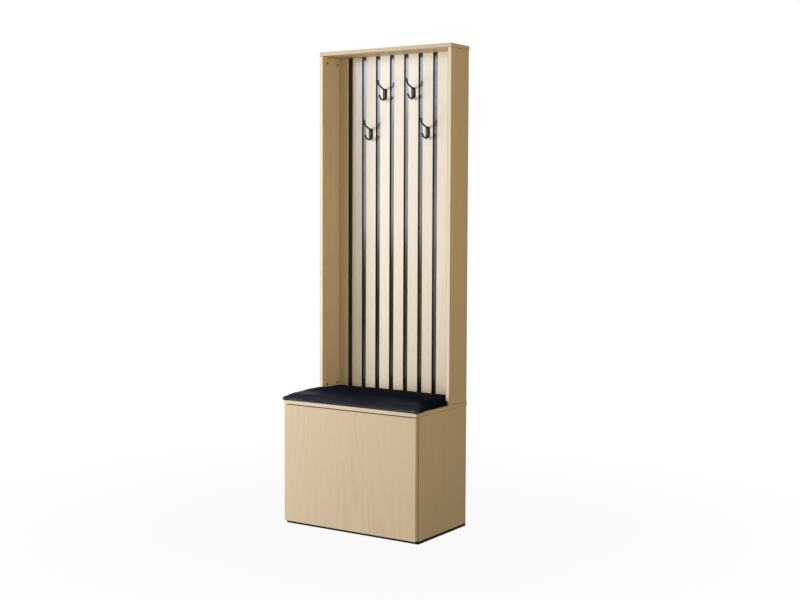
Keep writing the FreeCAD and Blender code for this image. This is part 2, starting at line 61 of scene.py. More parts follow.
# Cabinet sides, floor and bench top, and the niche's side panels and top: chipboard with a printed light oak
# laminate and glued edge bands, held together by cam bolts and dowels. On some boards the front band is
# painted paler: partly a paler band, partly a painted highlight where the lamps light the front edges.
# The grain runs up the uprights and along the flats.
LAMINATE_PRINT = {"Pale": (0.650, 0.508, 0.335, 1.0), "Deep": (0.550, 0.410, 0.253, 1.0),
                  "Figure": 0.34, "Streak": 0.30, "Rough": 0.45}
LAMINATE_SHEEN = 0.16
LAMINATE_RELIEF = 0.00006
GLUE_BROWN = (0.300, 0.205, 0.110, 1.0)
GLUE_LINE = 0.0008
# The paler front band's colour and its share on each board: partly a paler band, partly a painted highlight.
BAND_PALE_LIT = (0.840, 0.710, 0.555, 1.0)
BAND_THICKNESS = 0.001
PAINTED_BAND_HIGHLIGHTS = {"upper_left_panel": 0.60, "upper_right_panel": 0.60, "bench_top": 0.30}
GRAIN_TURN = {"x": (0.0, -math.pi / 2, 0.0), "y": (math.pi / 2, 0.0, 0.0), "z": (0.0, 0.0, 0.0)}
SHEET_STEP = (0.83, 0.47, 1.91)
SOFT_NOISE = (0.3, 0.7)
FLAMES = (5.0, 5.0, 0.35)
RINGS = 230.0
RING_EDGE = (-0.6, 1.0)
CLOUDS = (9.0, 9.0, 1.3)
CLOUD_EDGE = (0.4, 0.75)
STREAKS = (190.0, 190.0, 1.6)
FIBRES = (1300.0, 1300.0, 26.0)
FIBRE_RISE = 0.4
PORES = (1900.0, 1900.0, 70.0)
PORE_EDGE = (0.66, 0.74)
PORE_TONE = 0.5
PORE_ROUGH = 0.06


def fill(tree, socket, value):
    """Joins a socket to another node's output, or gives it a plain value."""
    if isinstance(value, bpy.types.NodeSocket):
        tree.links.new(value, socket)
    else:
        socket.default_value = value


def shader_node(tree, kind, inputs, **settings):
    """Adds a node with its settings, and fills its inputs, each found by name or by place."""
    made = tree.nodes.new("ShaderNode" + kind)
    for name, value in settings.items():
        setattr(made, name, value)
    for place, value in inputs.items():
        fill(tree, made.inputs[place], value)
    return made


def arithmetic(tree, operation, first, second=0.0):
    """One sum on two numbers."""
    return shader_node(tree, "Math", {0: first, 1: second}, operation=operation).outputs[0]


def vector_arithmetic(tree, operation, first, second=(0.0, 0.0, 0.0)):
    """One sum on two vectors."""
    return shader_node(tree, "VectorMath", {0: first, 1: second}, operation=operation).outputs[0]


def coordinate(tree, place, axis):
    """The X, Y or Z of a place."""
    return shader_node(tree, "SeparateXYZ", {"Vector": place}).outputs[axis]


def ranged(tree, value, low, high, to_low=0.0, to_high=1.0):
    """A number carried from one range to another, and held inside it."""
    return shader_node(tree, "MapRange", {0: value, 1: low, 2: high, 3: to_low, 4: to_high}).outputs[0]


def spread(tree, value, to_low=0.0, to_high=1.0):
    """Soft noise, which lies mostly about the middle, spread over a whole range."""
    return ranged(tree, value, *SOFT_NOISE, to_low, to_high)


def mixed(tree, factor, first, second):
    """A colour between two colours."""
    return shader_node(tree, "Mix", {0: factor, 6: first, 7: second}, data_type="RGBA").outputs[2]


def noise(tree, place, features, detail=2.0):
    """Soft noise with so many features to the metre, one number for all ways or one each for X, Y and Z."""
    scale = features if isinstance(features, tuple) else (features, features, features)
    scaled = vector_arithmetic(tree, "MULTIPLY", place, scale)
    return shader_node(tree, "TexNoise", {"Vector": scaled, "Scale": 1.0, "Detail": detail}).outputs[0]


def shader_group(name, inputs, outputs):
    """An empty node group with named sockets, its inputs as given and its outputs to be filled."""
    tree = bpy.data.node_groups.new(name, "ShaderNodeTree")
    for socket, kind in inputs.items():
        tree.interface.new_socket(name=socket, in_out="INPUT", socket_type="NodeSocket" + kind)
    for socket, kind in outputs.items():
        tree.interface.new_socket(name=socket, in_out="OUTPUT", socket_type="NodeSocket" + kind)
    return tree, tree.nodes.new("NodeGroupInput").outputs, tree.nodes.new("NodeGroupOutput").inputs


def oak_grain_group():
    """Wood grain along Z. Ring lines are the level lines of long soft noise, so they close into flames. Over
    them lie fine streaks and short sunken pores. Figure and Streak are how far rings and streaks change the
    tone."""
    inputs = {"Vector": "Vector", "Pale": "Color", "Deep": "Color", "Figure": "Float", "Streak": "Float",
              "Rough": "Float"}
    outputs = {"Color": "Color", "Roughness": "Float", "Height": "Float"}
    tree, given, result = shader_group("oak_grain", inputs, outputs)
    vector = given["Vector"]
    flames = noise(tree, vector, FLAMES, detail=1.0)
    rings = arithmetic(tree, "SINE", arithmetic(tree, "MULTIPLY", flames, RINGS))
    rings = ranged(tree, rings, *RING_EDGE)
    clouds = ranged(tree, noise(tree, vector, CLOUDS), *CLOUD_EDGE)
    streaks = noise(tree, vector, STREAKS, detail=3.0)
    fibres = noise(tree, vector, FIBRES, detail=1.0)
    pores = ranged(tree, noise(tree, vector, PORES, detail=0.0), *PORE_EDGE)
    figure = arithmetic(tree, "MULTIPLY", arithmetic(tree, "MULTIPLY", rings, clouds), given["Figure"])
    lines = arithmetic(tree, "ADD", spread(tree, streaks), spread(tree, fibres))
    lines = arithmetic(tree, "MULTIPLY", lines, given["Streak"])
    tone = arithmetic(tree, "ADD", figure, lines)
    tone = arithmetic(tree, "ADD", tone, arithmetic(tree, "MULTIPLY", pores, PORE_TONE))
    fill(tree, result["Color"], mixed(tree, tone, given["Pale"], given["Deep"]))
    rougher = arithmetic(tree, "MULTIPLY", arithmetic(tree, "ADD", pores, clouds), PORE_ROUGH)
    fill(tree, result["Roughness"], arithmetic(tree, "ADD", given["Rough"], rougher))
    relief = arithmetic(tree, "SUBTRACT", arithmetic(tree, "MULTIPLY", fibres, FIBRE_RISE), pores)
    fill(tree, result["Height"], relief)
    return tree


def band_line_group():
    """The thin glue line of an edge band. On a board's face the nearest side lies at no distance, so the
    second of the three distances to the sides, in X, Y and Z, is the way to the face's edge. The line runs
    where that is small."""
    inputs = {"Vector": "Vector", "Low": "Vector", "High": "Vector", "Width": "Float"}
    tree, given, result = shader_group("band_line", inputs, {"Mask": "Float"})
    after = vector_arithmetic(tree, "SUBTRACT", given["Vector"], given["Low"])
    before = vector_arithmetic(tree, "SUBTRACT", given["High"], given["Vector"])
    inside = vector_arithmetic(tree, "MINIMUM", after, before)
    x, y, z = shader_node(tree, "SeparateXYZ", {"Vector": inside}).outputs
    first = arithmetic(tree, "MAXIMUM", arithmetic(tree, "MINIMUM", x, y), arithmetic(tree, "MINIMUM", x, z))
    second = arithmetic(tree, "MAXIMUM", first, arithmetic(tree, "MINIMUM", y, z))
    fill(tree, result["Mask"], arithmetic(tree, "LESS_THAN", second, given["Width"]))
    return tree


def new_material(name):
    """A material's data, its tree, its shader's inputs, and its Object coordinates."""
    made = bpy.data.materials.new(name)
    made.use_nodes = True
    tree = made.node_tree
    place = shader_node(tree, "TexCoord", {}).outputs["Object"]
    return made, tree, tree.nodes["Principled BSDF"].inputs, place


def bumped(tree, shader, height, depth):
    """Gives a shader fine relief, of a depth in metres."""
    bump = shader_node(tree, "Bump", {"Height": height, "Strength": 1.0, "Distance": depth})
    fill(tree, shader["Normal"], bump.outputs[0])


def oak_grain_node(tree, place, grain, sheet, finish):
    """The grain group on one board: turned to its length, and moved to a part of the print of its own."""
    shift = tuple(step * sheet for step in SHEET_STEP)
    turned = shader_node(tree, "Mapping", {"Vector": place, "Location": shift, "Rotation": GRAIN_TURN[grain]})
    return shader_node(tree, "Group", {"Vector": turned.outputs[0], **finish}, node_tree=oak_grain).outputs


def dress(node, finish):
    """Puts a finish on a CAD node."""
    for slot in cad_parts[node].material_slots:
        slot.material = finish


def laminate(node, grain, sheet):
    """Dresses a board in oak laminate: a glue line along its edge bands and, on some, a front band painted
    paler, partly a paler band and partly a painted highlight.
    """
    made, tree, shader, place = new_material("oak_laminate_" + node)
    oak = oak_grain_node(tree, place, grain, sheet, LAMINATE_PRINT)
    low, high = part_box(node)
    sides = {"Vector": place, "Low": tuple(low), "High": tuple(high), "Width": GLUE_LINE}
    line = shader_node(tree, "Group", sides, node_tree=band_line).outputs["Mask"]
    color = oak["Color"]
    # Painted highlight: the front band is mixed towards a paler colour, partly a paler band and partly light
    # painted on the front edge.
    if node in PAINTED_BAND_HIGHLIGHTS:
        lit_front_mask = arithmetic(tree, "LESS_THAN", coordinate(tree, place, "Y"), low.y + BAND_THICKNESS)
        color = mixed(tree, arithmetic(tree, "MULTIPLY", lit_front_mask, PAINTED_BAND_HIGHLIGHTS[node]), color, BAND_PALE_LIT)
    fill(tree, shader["Base Color"], mixed(tree, line, color, GLUE_BROWN))
    fill(tree, shader["Roughness"], oak["Roughness"])
    shader["Specular IOR Level"].default_value = LAMINATE_SHEEN
    bumped(tree, shader, oak["Height"], LAMINATE_RELIEF)
    dress(node, made)


oak_grain = oak_grain_group()
band_line = band_line_group()
carcass_boards = {"cabinet_left_side": "z", "cabinet_right_side": "z", "cabinet_floor": "x", "bench_top": "x",
                  "upper_left_panel": "z", "upper_right_panel": "z", "upper_top_panel": "x"}
for sheet, (node, grain) in enumerate(carcass_boards.items()):
    laminate(node, grain, sheet)


# Base strips: four black plastic strips that the cabinet stands on, screwed up into its boards from below.
# Extruded, with a dull, finely grained skin.
STRIP_TONES = ((0.004, 0.004, 0.005, 1.0), (0.008, 0.008, 0.009, 1.0))
STRIP_DRIFT = 14.0
STRIP_GRAIN = 700.0
STRIP_ROUGH = (0.62, 0.76)
STRIP_SHEEN = 0.06
STRIP_RELIEF = 0.00008


def black_plastic():
    """Dull black plastic: a slow drift of tone, and a fine grain in its gloss and relief."""
    made, tree, shader, place = new_material("black_strip_plastic")
    grain = noise(tree, place, STRIP_GRAIN)
    drift = spread(tree, noise(tree, place, STRIP_DRIFT))
    fill(tree, shader["Base Color"], mixed(tree, drift, *STRIP_TONES))
    fill(tree, shader["Roughness"], spread(tree, grain, *STRIP_ROUGH))
    shader["Specular IOR Level"].default_value = STRIP_SHEEN
    bumped(tree, shader, grain, STRIP_RELIEF)
    return made


strip_plastic = black_plastic()
for side in ("front", "back", "left", "right"):
    dress("base_strip_" + side, strip_plastic)


# Back sheets: two thin sheets of hardboard, nailed into the rear edges of the uprights.
# Pressed brown wood fibre, smooth, with darker flecks and a faint print of the press screen.
SHEET_TONES = ((0.300, 0.196, 0.112, 1.0), (0.185, 0.112, 0.058, 1.0))
SHEET_CLOUDS = 22.0
CLOUD_SHARE = 0.6
FLECKS = 520.0
FLECK_EDGE = (0.55, 0.72)
FLECK_SHARE = 0.4
SHEET_ROUGH = (0.62, 0.78)
SCREEN_WAVES = 110.0
SCREEN_WANDER = 0.6
SCREEN_RELIEF = 0.00012


def hardboard():
    """Brown pressed fibre: clouds of tone, flecks, and the fine square weave of the press screen."""
    made, tree, shader, place = new_material("hardboard")
    clouds = spread(tree, noise(tree, place, SHEET_CLOUDS, detail=4.0))
    flecks = ranged(tree, noise(tree, place, FLECKS, detail=1.0), *FLECK_EDGE)
    cloud_tone = arithmetic(tree, "MULTIPLY", clouds, CLOUD_SHARE)
    tone = arithmetic(tree, "ADD", cloud_tone, arithmetic(tree, "MULTIPLY", flecks, FLECK_SHARE))
    fill(tree, shader["Base Color"], mixed(tree, tone, *SHEET_TONES))
    fill(tree, shader["Roughness"], ranged(tree, flecks, 0.0, 1.0, *SHEET_ROUGH))
    weave = {"Vector": place, "Scale": SCREEN_WAVES, "Distortion": SCREEN_WANDER}
    across = shader_node(tree, "TexWave", weave, bands_direction="X").outputs["Fac"]
    upward = shader_node(tree, "TexWave", weave, bands_direction="Z").outputs["Fac"]
    bumped(tree, shader, arithmetic(tree, "MULTIPLY", across, upward), SCREEN_RELIEF)
    return made


fibre_sheet = hardboard()
for node in ("cabinet_back_sheet", "upper_back_sheet"):
    dress(node, fibre_sheet)


# Drawer: one wide laminate front without a handle, and a box of thinner pale boards behind it, screwed at its
# corners, with a thin bottom sheet slid into grooves.
BOX_PRINT = {"Pale": (0.690, 0.610, 0.480, 1.0), "Deep": (0.600, 0.510, 0.380, 1.0),
             "Figure": 0.25, "Streak": 0.30, "Rough": 0.48}
BOX_RELIEF = 0.00005


def box_board(node, grain, sheet):
    """Dresses a board of the drawer box in a paler, plainer print than the outside."""
    made, tree, shader, place = new_material("drawer_print_" + node)
    oak = oak_grain_node(tree, place, grain, sheet, BOX_PRINT)
    fill(tree, shader["Base Color"], oak["Color"])
    fill(tree, shader["Roughness"], oak["Roughness"])
    bumped(tree, shader, oak["Height"], BOX_RELIEF)
    dress(node, made)


front_sheet = len(carcass_boards)
laminate("drawer_front", "z", front_sheet)
box_boards = {"drawer_inner_front": "x", "drawer_left_side": "y", "drawer_right_side": "y",
              "drawer_back": "x", "drawer_bottom": "y"}
for sheet, (node, grain) in enumerate(box_boards.items(), front_sheet + 1):
    box_board(node, grain, sheet)


# Telescopic runners: three rolled steel channels on each side, one inside the other, and the strike plates
# that the latches push. Zinc plated: bluish bright metal with rolling lines along the drawer's travel.
ZINC_TONES = ((0.66, 0.68, 0.70, 1.0), (0.50, 0.52, 0.55, 1.0))
ZINC_ROUGH = 0.34
PLATED_PATCHES = 60.0
ROLLING_LINES = (900.0, 12.0, 900.0)
LINE_ROUGH = 0.08
LINE_RELIEF = 0.00002


def plated_steel(name, tones, rough):
    """Plated metal: patches of tone, and fine lines along Y that vary its gloss."""
    made, tree, shader, place = new_material(name)
    patches = spread(tree, noise(tree, place, PLATED_PATCHES, detail=3.0))
    lines = noise(tree, place, ROLLING_LINES)
    fill(tree, shader["Base Color"], mixed(tree, patches, *tones))
    fill(tree, shader["Roughness"], spread(tree, lines, rough - LINE_ROUGH, rough + LINE_ROUGH))
    shader["Metallic"].default_value = 1.0
    bumped(tree, shader, lines, LINE_RELIEF)
    return made


zinc = plated_steel("zinc_plate", ZINC_TONES, ZINC_ROUGH)
for side in ("left", "right"):
    for member in ("outer", "middle", "inner"):
        dress(side + "_runner_" + member, zinc)
dress("latch_strikes", zinc)


# Push latches: a grey moulded housing, screwed to the cabinet floor behind each half of the drawer, with a
# white sprung plunger that meets the strike plate on the drawer's back.
LATCH_GREYS = ((0.36, 0.37, 0.38, 1.0), (0.30, 0.31, 0.32, 1.0))
LATCH_ROUGH = 0.46
PLUNGER_WHITES = ((0.76, 0.76, 0.74, 1.0), (0.68, 0.68, 0.66, 1.0))
PLUNGER_ROUGH = 0.38
MOULDED_DRIFT = 40.0
MOULDED_SKIN = 1600.0
SKIN_ROUGH = 0.06
SKIN_RELIEF = 0.00005


def moulded_plastic(name, tones, rough):
    """Moulded plastic: a slow drift of tone and a fine spark-eroded skin."""
    made, tree, shader, place = new_material(name)
    drift = spread(tree, noise(tree, place, MOULDED_DRIFT))
    skin = noise(tree, place, MOULDED_SKIN, detail=1.0)
    fill(tree, shader["Base Color"], mixed(tree, drift, *tones))
    fill(tree, shader["Roughness"], spread(tree, skin, rough - SKIN_ROUGH, rough + SKIN_ROUGH))
    bumped(tree, shader, skin, SKIN_RELIEF)
    return made


grey_plastic = moulded_plastic("latch_grey", LATCH_GREYS, LATCH_ROUGH)
white_plastic = moulded_plastic("plunger_white", PLUNGER_WHITES, PLUNGER_ROUGH)
for side in ("left", "right"):
    dress(side + "_latch_body", grey_plastic)
    dress(side + "_latch_plunger", white_plastic)


# Slatted back: a black laminate board that fills the niche, with nine strips glued on it. Each strip is black
# all through, with a thin oak face, so that only its front shows wood and the grooves stay dark.
SLATS = ["slat_" + str(number) for number in range(1, 10)]
SLAT_FACE = {"Pale": (0.684, 0.556, 0.396, 1.0), "Deep": (0.589, 0.461, 0.310, 1.0),
             "Figure": 0.35, "Streak": 0.30, "Rough": 0.29}
SLAT_SHEEN = 0.75
SLAT_RELIEF = 0.00006
FACE_THICKNESS = 0.0007
CORE_BLACK = (0.004, 0.004, 0.004, 1.0)
CORE_ROUGH = 0.9
GROOVE_TONES = ((0.010, 0.010, 0.011, 1.0), (0.014, 0.013, 0.012, 1.0))
GROOVE_SWIRL = (30.0, 30.0, 8.0)
GROOVE_ROUGH = (0.14, 0.18)
GROOVE_SHEEN = 0.6


def slat_veneer(node, sheet):
    """Dresses a slat: oak as deep as the face is thick, and black behind it."""
    made, tree, shader, place = new_material("slat_veneer_" + node)
    oak = oak_grain_node(tree, place, "z", sheet, SLAT_FACE)
    face_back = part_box(node)[0].y + FACE_THICKNESS
    core = arithmetic(tree, "GREATER_THAN", coordinate(tree, place, "Y"), face_back)
    fill(tree, shader["Base Color"], mixed(tree, core, oak["Color"], CORE_BLACK))
    core_rough = arithmetic(tree, "MULTIPLY", core, CORE_ROUGH)
    fill(tree, shader["Roughness"], arithmetic(tree, "MAXIMUM", oak["Roughness"], core_rough))
    shader["Specular IOR Level"].default_value = SLAT_SHEEN
    bumped(tree, shader, oak["Height"], SLAT_RELIEF)
    dress(node, made)


def black_laminate():
    """Smooth black laminate with a faint swirl in its tone and gloss."""
    made, tree, shader, place = new_material("groove_black_laminate")
    swirl = spread(tree, noise(tree, place, GROOVE_SWIRL, detail=3.0))
    fill(tree, shader["Base Color"], mixed(tree, swirl, *GROOVE_TONES))
    fill(tree, shader["Roughness"], ranged(tree, swirl, 0.0, 1.0, *GROOVE_ROUGH))
    shader["Specular IOR Level"].default_value = GROOVE_SHEEN
    return made


first_slat_sheet = front_sheet + 1 + len(box_boards)
for sheet, node in enumerate(SLATS, first_slat_sheet):
    slat_veneer(node, sheet)
dress("slat_board", black_laminate())


# Coat hooks: cast double hooks, a prong over a cup on an oval plate, each held by two screws through its
# plate. Black powder coat, which leaves a faint orange-peel skin.
HOOK_TONES = ((0.005, 0.005, 0.006, 1.0), (0.009, 0.009, 0.010, 1.0))
HOOK_PEEL = 420.0
HOOK_ROUGH = (0.22, 0.30)
HOOK_SHEEN = 0.22
HOOK_RELIEF = 0.0001


def powder_coat():
    """Black powder coat: a shallow peel and a half gloss that varies with it."""
    made, tree, shader, place = new_material("hook_powder_coat")
    peel = noise(tree, place, HOOK_PEEL, detail=1.0)
    fill(tree, shader["Base Color"], mixed(tree, spread(tree, peel), *HOOK_TONES))
    fill(tree, shader["Roughness"], spread(tree, peel, *HOOK_ROUGH))
    shader["Specular IOR Level"].default_value = HOOK_SHEEN
    bumped(tree, shader, peel, HOOK_RELIEF)
    return made


coat = powder_coat()
for row in ("upper", "lower"):
    for side in ("left", "right"):
        dress("hook_" + row + "_" + side, coat)
dress("hook_screws", coat)


# Seat: a plywood board, and over it a thin foam pad covered in blue-black leather cloth, drawn down round the
# board and notched round the niche's side panels. The foam swells the cover, and its free edges roll out over
# the bench.
VOXEL = 0.0045
MERGE_DISTANCE = 0.00001
UNDER_NORMAL = -0.5
REST_BAND = 0.003
EASING = 0.5
SOFTENING = 3
SMOOTHING = 12
SWELL_FRAMES = 20
SWELL_PRESSURE = 4.0
SWELL_STRETCH = -0.01
SWELL_LIMIT = 0.008
ROLL_OUT = 0.008
CORNER_EAR = 1.1
ROLL_FOOT = 0.012
ROLL_DROOP = 0.0035
NOTCH_EASE = 0.09
CLEARANCE = 0.0004
LEATHER_TONES = ((0.0030, 0.0044, 0.0095, 1.0), (0.0046, 0.0066, 0.0135, 1.0))
LEATHER_DRIFT = 16.0
LEATHER_CELLS = 620.0
LEATHER_ROUGH = (0.80, 0.88)
LEATHER_SHEEN = 0.01
LEATHER_RELIEF = 0.0003
RUBBED_EDGE = 0.12
RUBBED_FADE = 2.2
RUBBED_COAT = (0.34, 0.44)
RUBBED_ROUGH = 0.42
BIRCH = {"Pale": (0.60, 0.45, 0.28, 1.0), "Deep": (0.46, 0.32, 0.18, 1.0),
         "Figure": 0.4, "Streak": 0.35, "Rough": 0.6}
BIRCH_RELIEF = 0.0001
PLY_WAVE = 4200.0
PLY_LINE = 0.7
PLY_BROWN = (0.30, 0.19, 0.10, 1.0)
seat_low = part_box("seat_cushion")[0]
notch_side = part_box("upper_right_panel")[0].x - CLEARANCE
notch_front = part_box("upper_right_panel")[0].y - CLEARANCE


def plywood():
    """Raw birch: pale, with long soft streaks, and glue lines at its edges where sin(wave Z) is high."""
    made, tree, shader, place = new_material("seat_plywood")
    birch = oak_grain_node(tree, place, "x", first_slat_sheet + len(SLATS), BIRCH)
    wave = arithmetic(tree, "SINE", arithmetic(tree, "MULTIPLY", coordinate(tree, place, "Z"), PLY_WAVE))
    plies = arithmetic(tree, "GREATER_THAN", wave, PLY_LINE)
    fill(tree, shader["Base Color"], mixed(tree, plies, birch["Color"], PLY_BROWN))
    fill(tree, shader["Roughness"], birch["Roughness"])
    bumped(tree, shader, birch["Height"], BIRCH_RELIEF)
    return made


def leather_cloth():
    """Coated cloth: small rounded cells pressed into its dull skin, rubbed to a gloss towards the front."""
    made, tree, shader, place = new_material("seat_leather_cloth")
    cells = shader_node(tree, "TexVoronoi", {"Vector": place, "Scale": LEATHER_CELLS}, feature="SMOOTH_F1")
    drift = spread(tree, noise(tree, place, LEATHER_DRIFT, detail=3.0))
    fill(tree, shader["Base Color"], mixed(tree, drift, *LEATHER_TONES))
    fill(tree, shader["Roughness"], ranged(tree, drift, 0.0, 1.0, *LEATHER_ROUGH))
    shader["Specular IOR Level"].default_value = LEATHER_SHEEN
    depth = coordinate(tree, place, "Y")
    to_front = ranged(tree, depth, seat_low.y, seat_low.y + RUBBED_EDGE, 1.0, 0.0)
    rubbed = arithmetic(tree, "POWER", to_front, RUBBED_FADE)
    coating = ranged(tree, drift, 0.0, 1.0, *RUBBED_COAT)
    fill(tree, shader["Coat Weight"], arithmetic(tree, "MULTIPLY", rubbed, coating))
    shader["Coat Roughness"].default_value = RUBBED_ROUGH
    bumped(tree, shader, arithmetic(tree, "SUBTRACT", 1.0, cells.outputs["Distance"]), LEATHER_RELIEF)
    return made


def remeshed(mesh, name):
    """A copy of a mesh as an even skin of small quads: its doubles are merged, then it is made of voxels."""
    merged = mesh.copy()
    work = bmesh.new()
    work.from_mesh(merged)
    bmesh.ops.remove_doubles(work, verts=work.verts, dist=MERGE_DISTANCE)
    work.to_mesh(merged)
    work.free()
    piece = bpy.data.objects.new(name, merged)
    bpy.context.scene.collection.objects.link(piece)
    voxels = piece.modifiers.new("voxels", "REMESH")
    voxels.mode = "VOXEL"
    voxels.voxel_size = VOXEL
    evaluated = piece.evaluated_get(bpy.context.evaluated_depsgraph_get())
    piece.data = bpy.data.meshes.new_from_object(evaluated)
    piece.modifiers.clear()
    return piece


def points_of(mesh, kind="co"):
    """All of a mesh's points, or their normals, as rows of X, Y and Z."""
    rows = np.empty(len(mesh.vertices) * 3, np.float32)
    mesh.vertices.foreach_get(kind, rows)
    return rows.reshape(-1, 3).astype(float)


def put_points(mesh, rows):
    """Gives a mesh's points new places."""
    mesh.vertices.foreach_set("co", rows.astype(np.float32).ravel())
    mesh.update()


def eased(piece, rounds):
    """Takes out small ripples: so many times, each free point goes towards the middle of its neighbours."""
    soften = piece.modifiers.new("soften", "SMOOTH")
    soften.factor = EASING
    soften.iterations = rounds
    soften.vertex_group = "free"
    softened = piece.evaluated_get(bpy.context.evaluated_depsgraph_get())
    rows = points_of(softened.data)
    piece.modifiers.clear()
    return rows


def swelled(piece):
    """Blows the pad up: pressure pushes its skin out, its underside stays put, and no point goes too far."""
    before = points_of(piece.data)
    cloth = piece.modifiers.new("swell", "CLOTH")
    cloth.settings.use_pressure = True
    cloth.settings.uniform_pressure_force = SWELL_PRESSURE
    cloth.settings.shrink_min = SWELL_STRETCH
    cloth.settings.effector_weights.gravity = 0.0
    cloth.settings.vertex_group_mass = "under"
    cloth.point_cache.frame_end = SWELL_FRAMES
    for step in range(1, SWELL_FRAMES + 1):
        bpy.context.scene.frame_set(step)
    evaluated = piece.evaluated_get(bpy.context.evaluated_depsgraph_get())
    grown = bpy.data.meshes.new_from_object(evaluated)
    piece.modifiers.clear()
    bpy.context.scene.frame_set(1)
    moved = points_of(grown) - before
    reach = np.linalg.norm(moved, axis=1, keepdims=True)
    return before + moved * (SWELL_LIMIT / np.maximum(reach, SWELL_LIMIT))


def past_bench(rows):
    """How far each point is past the bench's front or ends."""
    bench_low, bench_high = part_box("bench_top")
    return np.maximum(np.abs(rows[:, 0]) - bench_high.x, bench_low.y - rows[:, 1])


def rolled_out(rows, normals):
    """Rolls the front and side edges out over the bench: each point goes out along the level part of its
    normal, further where that slants, at a corner. Towards the notches this fades as 3 t^2 - 2 t^3, where t
    runs from 1 to 0. Past the bench's edge the pad's foot hangs."""
    level = np.stack([normals[:, 0], np.minimum(normals[:, 1], 0.0), np.zeros(len(normals))], axis=1)
    corner = 1.0 + CORNER_EAR * 2.0 * np.abs(level[:, 0] * level[:, 1])
    from_notch = np.clip((notch_front - rows[:, 1]) / NOTCH_EASE, 0.0, 1.0)
    fade = from_notch * from_notch * (3.0 - 2.0 * from_notch)
    rolled = rows + level * (ROLL_OUT * corner * fade)[:, None]
    foot = np.clip(1.0 - (rolled[:, 2] - seat_low.z) / ROLL_FOOT, 0.0, 1.0)
    rolled[:, 2] -= foot * np.clip(past_bench(rolled), 0.0, ROLL_DROOP)
    return rolled


def kept_clear(rows):
    """Keeps the pad above the bench, off the slats behind it, and off the side panels that it is notched
    round: a point past a panel's inner face and front goes back to whichever of the two is nearer."""
    kept = rows.copy()
    kept[:, 1] = np.minimum(kept[:, 1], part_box("slat_5")[0].y - CLEARANCE)
    kept[:, 2] = np.where(past_bench(kept) > 0.0, kept[:, 2], np.maximum(kept[:, 2], seat_low.z))
    aside = np.abs(kept[:, 0]) - notch_side
    behind = kept[:, 1] - notch_front
    inside = (aside > 0.0) & (behind > 0.0)
    kept[:, 0] = np.where(inside & (aside < behind), np.sign(kept[:, 0]) * notch_side, kept[:, 0])
    kept[:, 1] = np.where(inside & (aside >= behind), notch_front, kept[:, 1])
    return kept


cushion = remeshed(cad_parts["seat_cushion"].data, "cushion")
skin = cushion.data
underneath = points_of(skin, "normal")[:, 2] < UNDER_NORMAL
under = underneath | (points_of(skin)[:, 2] < seat_low.z + REST_BAND)
cushion.vertex_groups.new(name="under").add(np.flatnonzero(under).tolist(), 1.0, "REPLACE")
cushion.vertex_groups.new(name="free").add(np.flatnonzero(~under).tolist(), 1.0, "REPLACE")
put_points(skin, eased(cushion, SOFTENING))
put_points(skin, swelled(cushion))
put_points(skin, eased(cushion, SMOOTHING))
put_points(skin, kept_clear(rolled_out(points_of(skin), points_of(skin, "normal"))))
finer = cushion.modifiers.new("finer", "SUBSURF")
finer.levels = 1
finer.render_levels = 1
skin.shade_smooth()
skin.materials.clear()
skin.materials.append(leather_cloth())
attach(cushion, "stand")
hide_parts("seat_cushion")
dress("seat_board", plywood())


# Fasteners: browned cam locks in the boards' faces, zinc-plated bolts, screws and nails, and beech dowels.
# Most are hidden once the stand is together.
CAM_BROWNS = ((0.110, 0.085, 0.060, 1.0), (0.060, 0.045, 0.032, 1.0))
CAM_ROUGH = 0.42
BEECH = {"Pale": (0.66, 0.45, 0.27, 1.0), "Deep": (0.52, 0.32, 0.17, 1.0),
         "Figure": 0.2, "Streak": 0.4, "Rough": 0.6}
BEECH_RELIEF = 0.00015


def beech(node):
    """Dresses the dowels in raw beech with short flecks."""
    made, tree, shader, place = new_material("dowel_beech")
    wood = oak_grain_node(tree, place, "z", 0, BEECH)
    fill(tree, shader["Base Color"], wood["Color"])
    fill(tree, shader["Roughness"], wood["Roughness"])
    bumped(tree, shader, wood["Height"], BEECH_RELIEF)
    dress(node, made)


cam_metal = plated_steel("browned_cam", CAM_BROWNS, CAM_ROUGH)
for node in ("upper_cams", "cabinet_cams"):
    dress(node, cam_metal)
plated = ("upper_cam_bolts", "cabinet_cam_bolts", "back_nails", "slat_board_screws", "base_screws",
          "cabinet_runner_screws", "drawer_runner_screws", "drawer_screws", "latch_screws")
for node in plated:
    dress(node, zinc)
beech("dowels")


# Studio: a pale floor that turns to plain white further out, a white surround, and soft lamps. The tall key
# stands on the left, a cool window above it shows in the gloss of the slats, warm fills stand on the right,
# and two dark felt flags keep the white surround out of the gloss of the sides and the grooves.
WHITE = (1.0, 1.0, 1.0, 1.0)
FLOOR_HALF = 6.0
FLOOR_PALE = (0.25, 0.25, 0.25, 1.0)
FLOOR_FADE = (0.4, 1.6)
CONTACT_FADE = (0.01, 0.16)
CONTACT_LIFT = (0.50, 0.94)
FLAG_BLACKS = ((0.006, 0.006, 0.006, 1.0), (0.012, 0.012, 0.012, 1.0))
FLAG_NAP = 300.0
FLAGS = {"flag_right": {"centre": (1.75, 2.15, 1.30), "across": (-1.34, 0.87, 0.0), "up": (0.0, 0.0, 1.29)},
         "flag_left": {"centre": (-3.20, -4.60, 0.44), "across": (0.79, -0.53, 0.0), "up": (0.0, 0.0, 0.43)}}
WORLD_TINT = (1.0, 0.88, 0.62, 1.0)
WORLD_LEVEL = 0.16
